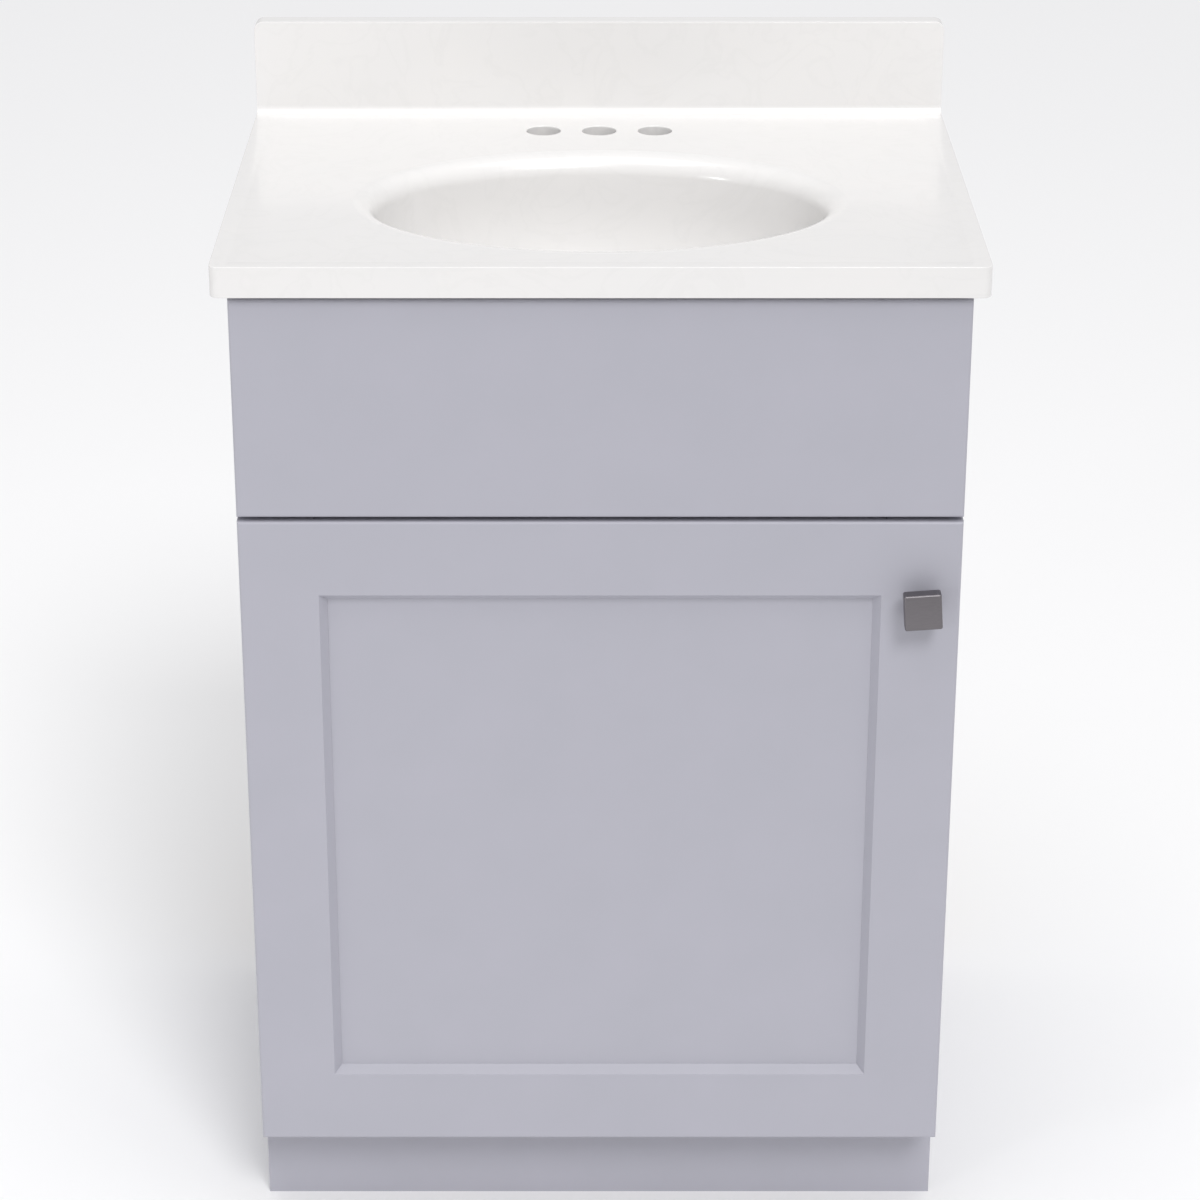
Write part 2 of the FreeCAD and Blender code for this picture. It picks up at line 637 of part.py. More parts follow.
def hinge_cup(name, height):
    """The cup, its flange with two ears, and two lugs inside that hold the pin."""
    shell = doc.addObject("PartDesign::Body", f"{name}_shell")
    flange_radius = f"({CUP_RADIUS} + size.flange_rim)"
    outline = sketch(shell, "XY_Plane", [
        ("0", "-size.cup_depth"),
        (CUP_RADIUS, "-size.cup_depth"),
        (CUP_RADIUS, "0"),
        (flange_radius, "0"),
        (flange_radius, "size.flange_thickness"),
        (CUP_INNER, "size.flange_thickness"),
        (CUP_INNER, "size.cup_wall - size.cup_depth"),
        ("0", "size.cup_wall - size.cup_depth"),
    ])
    turn = shell.newObject("PartDesign::Revolution", "turn")
    turn.Profile = outline
    turn.ReferenceAxis = (outline, ["V_Axis"])
    turn.Angle = 360

    ears = box("size.cup_screw_offset - size.flange_ear_width / 2", "0", "-size.flange_height / 2",
               "size.flange_ear_width", "size.flange_thickness", "size.flange_height")
    mouth = rod(f"2 * {CUP_INNER}", "size.cup_depth", y="-size.cup_wall", turn=ALONG_BACK)
    lugs = []
    pin_hole = rod("size.pin_diameter", "size.cup_diameter",
                   PIN_FROM_CUP, "-size.pin_depth", "-size.cup_diameter / 2")
    for side in (-1, 1):
        corner = f"min({side} * {LUG_START}; {side} * ({LUG_START} + size.lug_thickness))"
        lugs.append(box(f"{PIN_FROM_CUP} + size.lug_offset - size.lug_length / 2",
                        "size.cup_wall / 2 - size.cup_depth", corner, "size.lug_length",
                        "size.cup_depth - size.pin_depth + size.knuckle_diameter / 2",
                        "size.lug_thickness"))
    # the flange stops short of the door's edge, so that it clears the frame as the door swings
    trim = box(f"-{flange_radius} - {PAST}", "0", "-size.cup_diameter",
               f"size.flange_rim + size.flange_trim + {PAST}",
               f"size.flange_thickness + {PAST}", "2 * size.cup_diameter")
    cup = fused(shell, cut(ears, mouth), *lugs)
    cup = cut(cup, pin_hole, trim)
    place(cup, CUP_X, DOOR_BACK, height)
    return keep(name, cut(cup, hinge_cup_screws))


def hinge_arm(name, height):
    """The arm: a knuckle round the pin, a web along the cup's floor, a riser out of the cup,
    a run through the gap to the frame's edge if the cup doesn't reach that far, and a plate."""
    half = "size.arm_width / 2"
    web_bottom = "(size.arm_drop + size.arm_thickness)"
    riser_start = f"min({ARM_REACH}; {CUP_REACH} - size.arm_thickness - size.arm_cup_clearance)"
    run_front = "(size.pin_depth + size.flange_thickness + size.arm_run_clearance)"
    run_back = "(size.pin_depth + size.bumper_gap - size.arm_run_clearance)"
    plate_start = "(size.pin_depth + size.bumper_gap + size.arm_plate_margin)"
    plate_end = "(size.pin_depth + size.bumper_gap + size.frame_thickness - size.arm_plate_margin)"
    knuckle = rod("size.knuckle_diameter", "size.arm_width", z=f"-{half}")
    web = box("0", f"-{web_bottom}", f"-{half}",
              f"{riser_start} + size.arm_thickness", "size.arm_thickness", "size.arm_width")
    riser = box(riser_start, f"-{web_bottom}", f"-{half}",
                "size.arm_thickness", f"{run_back} + {web_bottom}", "size.arm_width")
    run = box(riser_start, run_front, f"-{half}",
              f"{ARM_REACH} + size.arm_thickness - {riser_start}", f"{run_back} - {run_front}",
              "size.arm_width")
    neck = box(ARM_REACH, run_front, f"-{half}",
               "size.arm_thickness", f"{plate_end} - {run_front}", "size.arm_width")
    plate = box(ARM_REACH, plate_start, "-size.arm_plate_height / 2",
                "size.arm_thickness", f"{plate_end} - {plate_start}", "size.arm_plate_height")
    pin_hole = rod("(size.pin_diameter + 2 * size.pin_clearance)",
                   f"size.arm_width + 2 * {PAST}", z=f"-{half} - {PAST}")
    arm = cut(fused(knuckle, web, riser, run, neck, plate), pin_hole)
    place(arm, PIN_X, PIN_Y, height)
    return keep(name, cut(arm, hinge_arm_screws))


for name, height in HINGE_HEIGHTS.items():
    hinge_cup(f"hinge_cup_{name}", height)
    hinge_arm(f"hinge_arm_{name}", height)
    half_pin = f"({LUG_START} + size.lug_thickness)"
    pin = rod("size.pin_diameter", f"2 * {half_pin}", PIN_X, PIN_Y, f"{height} - {half_pin}")
    keep(f"hinge_pin_{name}", pin)

# ---------------------------------------------------------------------------------------
# Vanity top: deck, backsplash and bowl, cast in one piece
# ---------------------------------------------------------------------------------------
BOWL_Y = f"({TOP_FRONT} + size.bowl_setback)"
RIM_START = math.radians(25)      # slope of the rim where it leaves the deck
WALL_STEPS = 7
WALL_FULLNESS = 2.5               # 2 is a plain ellipse; more gives a steeper wall


def bowl_section(thickness):
    """Half of the bowl's section on its short axis, as (radius, height from the deck): a
    rounded rim, a wall that turns under, and the level floor; set outwards by a thickness."""
    half = number("size.bowl_length / 2")
    rim = number("size.bowl_rim_round")
    depth = number("size.bowl_depth")
    flat = number("size.drain_flat / 2")
    rim_centre = FreeCAD.Vector(half + rim * math.sin(RIM_START), -rim * math.cos(RIM_START), 0)
    rim_radius = rim - thickness

    def on_rim(angle):
        return rim_centre + FreeCAD.Vector(-math.sin(angle), math.cos(angle), 0) * rim_radius

    quarter = math.pi / 2
    rim_arc = Part.Arc(on_rim(RIM_START), on_rim((RIM_START + quarter) / 2), on_rim(quarter))
    lip = on_rim(quarter)
    across = lip.x - flat
    down = lip.y + depth + thickness
    wall_points = []
    for step in range(WALL_STEPS + 1):
        angle = quarter * step / WALL_STEPS
        out = math.cos(angle) ** (2 / WALL_FULLNESS)
        below = math.sin(angle) ** (2 / WALL_FULLNESS)
        wall_points.append(FreeCAD.Vector(flat + across * out, lip.y - down * below, 0))
    wall = Part.BSplineCurve()
    wall.interpolate(Points=wall_points, InitialTangent=FreeCAD.Vector(0, -1, 0),
                     FinalTangent=FreeCAD.Vector(-1, 0, 0))
    floor = Part.LineSegment(wall_points[-1], FreeCAD.Vector(0, wall_points[-1].y, 0))
    axis = Part.LineSegment(FreeCAD.Vector(0, wall_points[-1].y, 0),
                            FreeCAD.Vector(0, on_rim(RIM_START).y, 0))
    closing = Part.LineSegment(FreeCAD.Vector(0, on_rim(RIM_START).y, 0), on_rim(RIM_START))
    return Part.Wire([curve.toShape() for curve in (rim_arc, wall, floor, axis, closing)])


def bowl_solid(name, thickness):
    """The section turned about the bowl's centre, then widened from a circle to an oval."""
    section = Part.Face(bowl_section(thickness))
    round_bowl = section.revolve(FreeCAD.Vector(), FreeCAD.Vector(0, 1, 0), 360)
    half_width = number("size.bowl_width / 2") + thickness
    half_length = number("size.bowl_length / 2") + thickness
    widen = FreeCAD.Matrix()
    widen.scale(half_width / half_length, 1, 1)
    oval = round_bowl.transformGeometry(widen)
    piece = doc.addObject("Part::Feature", name)
    piece.Shape = oval
    piece.Placement = FreeCAD.Placement(FreeCAD.Vector(0, number(BOWL_Y), number(DECK)),
                                        turned((1, 0, 0), 90))
    return piece


def vanity_top():
    left = f"-{TOP_HALF_WIDTH}"
    slab = box(left, TOP_FRONT, "size.cabinet_height",
               f"2 * {TOP_HALF_WIDTH}", "size.top_depth", "size.top_edge_height")
    backsplash = box(left, BACKSPLASH_FACE, "size.cabinet_height",
                     f"2 * {TOP_HALF_WIDTH}", "size.backsplash_thickness",
                     "size.top_edge_height + size.backsplash_rise")
    top = fused(slab, backsplash)
    crest = f"({DECK} + size.backsplash_rise)"
    top = eased(top, "size.top_corner_round",
                lambda point: abs(point.x) > number(TOP_HALF_WIDTH) - TOLERANCE
                and (near(point.z, crest) or near(point.y, TOP_FRONT)))
    top = eased(top, "size.cove_radius",
                lambda point: near(point.y, BACKSPLASH_FACE) and near(point.z, DECK))
    corner = number("size.top_corner_round") + TOLERANCE

    def on_outline(point):
        """On the outer edge of the deck's upper face or of the backsplash's face."""
        at_side = abs(point.x) > number(TOP_HALF_WIDTH) - corner
        at_front = point.y < number(TOP_FRONT) + corner
        at_crest = point.z > number(crest) - corner
        upper = point.z > number(DECK) - TOLERANCE and point.y < number(BACKSPLASH_FACE) + TOLERANCE
        return upper and (at_side or at_front or at_crest)

    top = eased(top, "size.top_edge_round", on_outline)
    underside = box(f"{left} + size.top_rim_width", f"{TOP_FRONT} + size.top_front_rim_width",
                    f"size.cabinet_height - {PAST}", f"2 * ({TOP_HALF_WIDTH} - size.top_rim_width)",
                    "size.top_depth - size.top_rim_width - size.top_front_rim_width",
                    f"size.top_edge_height - size.deck_thickness + {PAST}")
    top = cut(top, underside)
    top = fused(top, bowl_solid("bowl_outside", number("size.bowl_wall")))
    top = cut(top, bowl_solid("bowl_inside", 0.0))
    holes = []
    for place_index in (-1, 0, 1):
        holes.append(rod("size.faucet_diameter", "4 * size.deck_thickness",
                         f"{place_index} * size.faucet_pitch",
                         f"{BACKSPLASH_FACE} - size.faucet_setback",
                         f"{DECK} - 3 * size.deck_thickness"))
    holes.append(rod("size.drain_diameter", "4 * size.bowl_wall", "0", BOWL_Y,
                     f"{DECK} - size.bowl_depth - 2 * size.bowl_wall"))
    return keep("vanity_top", cut(top, grouped(holes)))


vanity_top()

# ---------------------------------------------------------------------------------------
# Check every object, then write each piece to its own file
# ---------------------------------------------------------------------------------------
doc.recompute()
for item in doc.Objects:
    for state in item.State:
        if "Invalid" in state or "Error" in state:
            raise RuntimeError(f"{item.Label} failed: {item.State}")
for node in nodes:
    if node.Shape.isNull() or not node.Shape.isValid():
        raise RuntimeError(f"{node.Label} has no valid shape")
    if not node.Shape.Solids:
        raise RuntimeError(f"{node.Label} has no solid")

os.makedirs("parts", exist_ok=True)
for node in nodes:
    node.Shape.exportStep(f"parts/{node.Label}.step")
    print(f"{node.Label}: {len(node.Shape.Solids)} solid(s), {node.Shape.Volume / 1000:.1f} cm3")
print(f"{len(nodes)} pieces written")
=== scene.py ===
# %% [markdown]
# # A bathroom vanity with a cultured marble top
#
# A vanity is a painted wooden cabinet with a basin cast into its top. The cabinet, its door and
# its hinges come from a CAD model, which is loaded here as a fixed frame: nothing in it may move,
# because its door already swings and its parts already fit. What Blender adds is the look of each
# surface, and the shapes that a casting or a mould gives and that boxes and cylinders cannot.
# The front faces -Y and +X is to the right of someone facing it. Everything is in metres.

# %% Load the frame
import json
import math

import bmesh
import bpy
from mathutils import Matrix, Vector


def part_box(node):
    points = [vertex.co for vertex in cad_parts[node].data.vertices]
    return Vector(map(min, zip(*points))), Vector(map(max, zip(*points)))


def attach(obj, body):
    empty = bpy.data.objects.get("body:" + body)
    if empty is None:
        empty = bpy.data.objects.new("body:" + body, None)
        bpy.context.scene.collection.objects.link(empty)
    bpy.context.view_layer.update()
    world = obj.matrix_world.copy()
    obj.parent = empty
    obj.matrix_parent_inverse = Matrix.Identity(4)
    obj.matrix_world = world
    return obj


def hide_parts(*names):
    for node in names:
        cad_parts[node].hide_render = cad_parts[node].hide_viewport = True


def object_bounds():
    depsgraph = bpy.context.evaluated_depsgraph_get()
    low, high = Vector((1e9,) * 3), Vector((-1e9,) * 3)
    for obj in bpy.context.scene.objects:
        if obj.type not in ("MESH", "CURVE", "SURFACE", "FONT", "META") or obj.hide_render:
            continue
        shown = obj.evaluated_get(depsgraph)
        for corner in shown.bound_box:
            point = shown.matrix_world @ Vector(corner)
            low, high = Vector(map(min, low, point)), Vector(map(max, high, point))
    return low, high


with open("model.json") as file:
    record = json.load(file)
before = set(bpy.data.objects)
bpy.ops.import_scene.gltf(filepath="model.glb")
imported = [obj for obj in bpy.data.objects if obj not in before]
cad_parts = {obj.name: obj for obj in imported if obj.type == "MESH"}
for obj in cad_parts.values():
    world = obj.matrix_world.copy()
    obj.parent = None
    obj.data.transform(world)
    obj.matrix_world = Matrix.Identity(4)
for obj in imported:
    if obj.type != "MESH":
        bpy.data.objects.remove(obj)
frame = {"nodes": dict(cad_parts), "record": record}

MM = 0.001
cad_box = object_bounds()
object_low, object_high = cad_box
print("CAD box", [round(size, 4) for size in object_high - object_low])

# %% [markdown]
# ## Places from the frame
#
# A replacement piece has to go exactly where the CAD part is. So its places are read from the
# frame: the corners of a node's box, and the mounts, which say where holes are and how wide.

# %% Read the places
mounts = {mount["name"]: mount for mount in frame["record"]["mounts"]}
top_low, top_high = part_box("vanity_top")
drain = mounts["drain_hole"]
faucet_holes = [mounts[f"faucet_hole_{side}"] for side in ("left", "centre", "right")]
faucet_radius = faucet_holes[0]["dims"]["r_mm"] * MM
deck_half_thickness = faucet_holes[0]["dims"]["length_mm"] / 2 * MM
deck_z = faucet_holes[0]["pos_m"][2] + deck_half_thickness
print("deck at", round(deck_z, 4), "crest at", round(top_high.z, 4))

# %% [markdown]
# ## A camera like a standing visitor's
#
# The view is level from side to side and looks down on the basin from standing height, through
# a long lens from nearly three metres. A long lens keeps the cabinet's sides almost upright.

# %% Camera
EYE = (-0.010, -2.925, 1.793)
LOOK_DOWN = 23.49                  # degrees below level
LENS_MM = 104.8
SENSOR_MM = 36.0
SHIFT = 0.0098                     # share of the frame, to the right
camera_data = bpy.data.cameras.new("camera")
camera_data.lens = LENS_MM
camera_data.sensor_width = SENSOR_MM
camera_data.shift_x = SHIFT
camera = bpy.data.objects.new("camera", camera_data)
camera.location = EYE
camera.rotation_euler = (math.radians(90 - LOOK_DOWN), 0, 0)
bpy.context.scene.collection.objects.link(camera)
bpy.context.scene.camera = camera
print("camera", EYE, "lens", camera_data.lens)


# %% [markdown]
# ## Light and floor
#
# A painted cabinet and a glossy white casting both want large soft lights: a small lamp would
# make hard spots on the gel coat. The main light is a sun with a wide disc, high on the front
# right, because a sun lights the foot of the cabinet and the floor as much as the top. A wide
# panel overhead fills the basin, a small lamp on the left gives the knob its shadow, and a pale
# surround does the rest. The floor is a plain pale plane, which belongs to the stage and not to
# the object.

# %% Colour helper
def linear(colour):
    """An sRGB hex colour as the linear RGBA that Blender's sockets take."""
    channels = [int(colour[place:place + 2], 16) / 255 for place in (1, 3, 5)]
    bright = [c / 12.92 if c <= 0.04045 else ((c + 0.055) / 1.055) ** 2.4 for c in channels]
    return (*bright, 1.0)


# %% A helper that adds a node
def add(tree, kind, sockets=None, **settings):
    """Adds a node to a tree. Sockets are values, or outputs of other nodes, by input."""
    made = tree.nodes.new(kind)
    for name, value in settings.items():
        setattr(made, name, value)
    for name, value in (sockets or {}).items():
        if isinstance(value, bpy.types.NodeSocket):
            tree.links.new(value, made.inputs[name])
        else:
            made.inputs[name].default_value = value
    return made


# %% Lights
def soft_light(name, kind, place, energy, **settings):
    """A light of some kind at a place, aimed at the middle of the object."""
    data = bpy.data.lights.new(name, kind)
    data.energy = energy
    for setting, value in settings.items():
        setattr(data, setting, value)
    light = bpy.data.objects.new(name, data)
    light.location = place
    aim = (object_low + object_high) / 2 - Vector(place)
    light.rotation_euler = aim.to_track_quat("-Z", "Y").to_euler()
    bpy.context.scene.collection.objects.link(light)


SUN_DISC = math.radians(20)
soft_light("main_light", "SUN", (0.9, -2.9, 3.6), 1.28, angle=SUN_DISC)
soft_light("overhead_light", "AREA", (0.0, -0.5, 3.6), 31, size=2.0)
soft_light("side_light", "AREA", (-2.3, -2.4, 1.2), 8, size=0.35)

SURROUND_STRENGTH = 0.60
world = bpy.data.worlds.new("pale_surround")
world.use_nodes = True
surround = world.node_tree.nodes["Background"]
surround.inputs["Color"].default_value = linear("#FAFAFC")
surround.inputs["Strength"].default_value = SURROUND_STRENGTH
bpy.context.scene.world = world
bpy.context.scene.view_settings.view_transform = "Standard"    # keeps white a clean white

# %% Floor
bpy.ops.object.select_all(action="DESELECT")
FLOOR_SIZE = 30.0
bpy.ops.mesh.primitive_plane_add(size=FLOOR_SIZE)
floor = bpy.context.active_object
floor.name = "studio_floor"
floor_material = bpy.data.materials.new("matt white studio floor")
floor_material.use_nodes = True
floor_shader = floor_material.node_tree.nodes["Principled BSDF"]
floor_shader.inputs["Base Color"].default_value = linear("#FAFAFA")
floor_shader.inputs["Roughness"].default_value = 0.9
floor.data.materials.append(floor_material)
print("floor", floor.dimensions[:2])


# %% [markdown]
# ## Materials
#
# Each finish starts from what the real one is. A material here is one Principled shader whose
# colour, roughness and bump come from procedural patterns. The patterns read Object coordinates,
# in metres, so a noise of 1000 / 20 has features about 20 mm wide.

# %% A material to start from
def per_metre(millimetres):
    """The scale of a pattern whose features are that wide."""
    return 1000 / millimetres


def new_material(name):
    """A material with its shader and the object's coordinates."""
    material = bpy.data.materials.new(name)
    material.use_nodes = True
    tree = material.node_tree
    shader = tree.nodes["Principled BSDF"]
    place = add(tree, "ShaderNodeTexCoord").outputs["Object"]
    return material, tree, shader, place


# %% [markdown]
# ### Satin enamel on the cabinet
#
# The doors and frame are sprayed with a light grey enamel and sanded between coats. It gives a
# soft sheen with a very fine orange peel, and the wood's grain still shows through it as a
# ripple too shallow to see except where light grazes it. Painted wood is duller in places
# where it was rubbed, so the roughness wanders a little. Grain runs along each board, so the
# ripple is stretched along the board's length.

# %% Satin enamel
def satin_enamel(name, along):
    """Grey enamel on boards whose grain runs along x or z."""
    material, tree, shader, place = new_material(name)
    mottle = add(tree, "ShaderNodeTexNoise",
                 {"Vector": place, "Scale": per_metre(70), "Detail": 3.0}).outputs["Fac"]
    shade = add(tree, "ShaderNodeMix", {0: mottle, 6: linear("#ADACB6"), 7: linear("#A8A8B1")},
                data_type="RGBA").outputs[2]
    tree.links.new(shade, shader.inputs["Base Color"])
    rubbed = add(tree, "ShaderNodeMapRange", {"Value": mottle, "To Min": 0.36, "To Max": 0.46})
    tree.links.new(rubbed.outputs["Result"], shader.inputs["Roughness"])
    long_way, short_way = 0.04, 1.0
    stretch = {"x": (long_way, short_way, short_way), "z": (short_way, short_way, long_way)}
    board = add(tree, "ShaderNodeMapping", {"Vector": place, "Scale": stretch[along]})
    grain = add(tree, "ShaderNodeTexNoise",
                {"Vector": board.outputs["Vector"], "Scale": per_metre(3.0), "Detail": 4.0})
    peel = add(tree, "ShaderNodeTexNoise",
               {"Vector": place, "Scale": per_metre(1.6), "Detail": 2.0})
    ripple = add(tree, "ShaderNodeBump",
                 {"Height": grain.outputs["Fac"], "Strength": 0.25, "Distance": 0.10 * MM})
    skin = add(tree, "ShaderNodeBump", {
        "Height": peel.outputs["Fac"], "Strength": 0.25, "Distance": 0.05 * MM,
        "Normal": ripple.outputs["Normal"]})
    tree.links.new(skin.outputs["Normal"], shader.inputs["Normal"])
    shader.inputs["IOR"].default_value = 1.5
    return material


enamel_upright = satin_enamel("satin grey enamel, grain upright", "z")
enamel_across = satin_enamel("satin grey enamel, grain across", "x")
print("materials", enamel_upright.name, "and", enamel_across.name)

# %% [markdown]
# ### Sealed birch inside the cabinet
#
# The bottom, the back rails and the blocks under the top are birch plywood with a clear
# sealer. Birch has a faint long figure and short fine pores, both along the grain. It stays
# honey-pale, and the sealer leaves it about half glossy.


# %% Sealed birch
def sealed_birch():
    material, tree, shader, place = new_material("clear-sealed birch plywood")
    board = add(tree, "ShaderNodeMapping", {"Vector": place, "Scale": (0.06, 1.0, 1.0)})
    figure = add(tree, "ShaderNodeTexNoise", {
        "Vector": board.outputs["Vector"], "Scale": per_metre(18), "Detail": 5.0,
        "Distortion": 0.6}).outputs["Fac"]
    pores = add(tree, "ShaderNodeTexNoise", {
        "Vector": board.outputs["Vector"], "Scale": per_metre(1.8), "Detail": 2.0}).outputs["Fac"]
    wood = add(tree, "ShaderNodeValToRGB", {"Fac": figure})
    wood.color_ramp.elements[0].position = 0.30
    wood.color_ramp.elements[0].color = linear("#C9A878")
    wood.color_ramp.elements[1].position = 0.72
    wood.color_ramp.elements[1].color = linear("#DEC49A")
    dark_pores = add(tree, "ShaderNodeMapRange", {
        "Value": pores, "From Min": 0.60, "From Max": 0.75, "To Min": 0.0, "To Max": 0.35})
    colour = add(tree, "ShaderNodeMix", {
        0: dark_pores.outputs["Result"], 6: wood.outputs["Color"], 7: linear("#A98758")},
        data_type="RGBA").outputs[2]
    tree.links.new(colour, shader.inputs["Base Color"])
    relief = add(tree, "ShaderNodeBump", {"Height": pores, "Strength": 0.3, "Distance": 0.08 * MM})
    tree.links.new(relief.outputs["Normal"], shader.inputs["Normal"])
    shader.inputs["Roughness"].default_value = 0.45
    shader.inputs["IOR"].default_value = 1.5
    return material


birch = sealed_birch()
print("material", birch.name)

# %% [markdown]
# ### Gel-coated cultured marble
#
# The top is polyester resin filled with marble dust, cast upside down in a mould that was
# first sprayed with clear gel coat. So the face is smooth and glossy, and the clouding lies a
# little under it. In white the clouds are very faint: a warmer and a cooler white, with a few
# soft streaks. The gel coat is a thin coat over a slightly duller body.


# %% Cultured marble
def cultured_marble():
    material, tree, shader, place = new_material("white cultured marble, gel-coated")
    clouds = add(tree, "ShaderNodeTexNoise", {
        "Vector": place, "Scale": per_metre(120), "Detail": 4.0, "Distortion": 1.2}).outputs["Fac"]
    cloud_shade = add(tree, "ShaderNodeMix", {
        0: clouds, 6: linear("#E5E3E1"), 7: linear("#E1E0DF")}, data_type="RGBA").outputs[2]
    streaks = add(tree, "ShaderNodeTexNoise", {
        "Vector": place, "Scale": per_metre(90), "Detail": 6.0, "Distortion": 2.5}).outputs["Fac"]
    vein = add(tree, "ShaderNodeValToRGB", {"Fac": streaks})
    vein.color_ramp.elements[0].position = 0.455
    vein.color_ramp.elements[0].color = (0, 0, 0, 1)
    vein.color_ramp.elements[1].position = 0.500
    vein.color_ramp.elements[1].color = (0.2, 0.2, 0.2, 1)
    far_side = vein.color_ramp.elements.new(0.545)
    far_side.color = (0, 0, 0, 1)
    colour = add(tree, "ShaderNodeMix", {
        0: vein.outputs["Color"], 6: cloud_shade, 7: linear("#DAD9D7")},
        data_type="RGBA").outputs[2]
    tree.links.new(colour, shader.inputs["Base Color"])
    wave = add(tree, "ShaderNodeTexNoise", {"Vector": place, "Scale": per_metre(35), "Detail": 1.0})
    flow = add(tree, "ShaderNodeBump", {
        "Height": wave.outputs["Fac"], "Strength": 0.2, "Distance": 0.15 * MM})
    tree.links.new(flow.outputs["Normal"], shader.inputs["Normal"])
    shader.inputs["Roughness"].default_value = 0.22
    shader.inputs["IOR"].default_value = 1.52
    shader.inputs["Coat Weight"].default_value = 0.35
    shader.inputs["Coat Roughness"].default_value = 0.06
    return material


marble = cultured_marble()
print("material", marble.name)

# %% [markdown]
# ### Metals and rubber
#
# The knob is die-cast zinc, nickel-plated and brushed, so its highlights smear across the
# brush lines. The hinges are pressed steel with a bright nickel plate, and the screws are
# zinc-plated, greyer and duller. The bumpers are clear polyurethane domes.


# %% Brushed nickel
def brushed_nickel():
    """Real brush lines are about 0.05 mm apart; these are coarser, so that they show."""
    material, tree, shader, place = new_material("brushed nickel plate")
    brush_way = add(tree, "ShaderNodeMapping", {"Vector": place, "Scale": (0.03, 1.0, 1.0)})
    lines = add(tree, "ShaderNodeTexNoise", {
        "Vector": brush_way.outputs["Vector"], "Scale": per_metre(0.35),
        "Detail": 3.0}).outputs["Fac"]
    colour = add(tree, "ShaderNodeMix", {
        0: lines, 6: linear("#6E6B6E"), 7: linear("#827E81")}, data_type="RGBA").outputs[2]
    tree.links.new(colour, shader.inputs["Base Color"])
    satin = add(tree, "ShaderNodeMapRange", {"Value": lines, "To Min": 0.30, "To Max": 0.46})
    tree.links.new(satin.outputs["Result"], shader.inputs["Roughness"])
    scratch = add(tree, "ShaderNodeBump", {
        "Height": lines, "Strength": 0.35, "Distance": 0.03 * MM})
    tree.links.new(scratch.outputs["Normal"], shader.inputs["Normal"])
    shader.inputs["Metallic"].default_value = 1.0
    return material


nickel = brushed_nickel()
print("material", nickel.name)


# %% Plated steels
def plated_steel(name, light_shade, dark_shade, roughness, blotch_mm):
    """Plate over pressed or rolled steel, with faint blotches from handling."""
    material, tree, shader, place = new_material(name)
    blotch = add(tree, "ShaderNodeTexNoise", {
        "Vector": place, "Scale": per_metre(blotch_mm), "Detail": 4.0}).outputs["Fac"]
    colour = add(tree, "ShaderNodeMix", {
        0: blotch, 6: linear(light_shade), 7: linear(dark_shade)}, data_type="RGBA").outputs[2]
    tree.links.new(colour, shader.inputs["Base Color"])
    dull = add(tree, "ShaderNodeMapRange", {
        "Value": blotch, "To Min": roughness - 0.06, "To Max": roughness + 0.08})
    tree.links.new(dull.outputs["Result"], shader.inputs["Roughness"])
    shader.inputs["Metallic"].default_value = 1.0
    return material


hinge_plate = plated_steel("bright nickel plate on pressed steel", "#D3CDC3", "#BDB6AB", 0.24, 9)
zinc_plate = plated_steel("zinc plate on screw steel", "#C4C6C6", "#A7AAAB", 0.36, 2.5)
print("materials", hinge_plate.name, "and", zinc_plate.name)


# %% Clear bumper rubber
def clear_polyurethane():
    material, tree, shader, place = new_material("clear cast polyurethane")
    haze = add(tree, "ShaderNodeTexNoise", {"Vector": place, "Scale": per_metre(3), "Detail": 2.0})
    colour = add(tree, "ShaderNodeMix", {
        0: haze.outputs["Fac"], 6: linear("#ECEBE6"), 7: linear("#E2E0D8")}, data_type="RGBA")
    tree.links.new(colour.outputs[2], shader.inputs["Base Color"])
    shader.inputs["Roughness"].default_value = 0.25
    shader.inputs["IOR"].default_value = 1.5
    shader.inputs["Transmission Weight"].default_value = 0.6
    return material


polyurethane = clear_polyurethane()
print("material", polyurethane.name)

# %% [markdown]
# ### Put the finishes on the CAD nodes
#
# The record names a material slot for each node. Enamel is the only one that needs a second
# look, because boards that run across take the grain across.

# %% Assign finishes
FINISH = {
    "painted_wood": enamel_upright,
    "bare_wood": birch,
    "cultured_marble": marble,
    "knob_nickel": nickel,
    "hinge_steel": hinge_plate,
    "screw_zinc": zinc_plate,
    "bumper": polyurethane,
}
ACROSS = ("rail", "false_drawer_front", "toe_kick_board")
for part in frame["record"]["subparts"]:
    node_object = frame["nodes"][part["node"]]
    finish = FINISH[part["material_slot"]]
    if finish is enamel_upright and any(word in part["node"] for word in ACROSS):
        finish = enamel_across
    node_object.data.materials.clear()
    node_object.data.materials.append(finish)


# %% [markdown]
# ## Tools for modelling by place
#
# In edit mode an operator works on what is selected. These helpers select in code what a
# person would click on: edges or faces whose middle lies where a test says.

# %% Selection helpers
NEAR = 0.02 * MM


def deselect_objects():
    if bpy.context.mode != "OBJECT":
        bpy.ops.object.mode_set(mode="OBJECT")
    bpy.ops.object.select_all(action="DESELECT")


def block(name, low, high):
    """A cube primitive stretched between two corners, with its place in its mesh."""
    deselect_objects()
    size = Vector(high) - Vector(low)
    bpy.ops.mesh.primitive_cube_add(size=1, location=(Vector(high) + Vector(low)) / 2, scale=size)
    piece = bpy.context.active_object
    piece.name = name
    bpy.ops.object.transform_apply(location=True, rotation=True, scale=True)
    return piece


def start_editing(piece):
    deselect_objects()
    bpy.context.view_layer.objects.active = piece
    piece.select_set(True)
    bpy.ops.object.mode_set(mode="EDIT")
    bpy.ops.mesh.select_mode(type="VERT")
    bpy.ops.mesh.select_all(action="DESELECT")


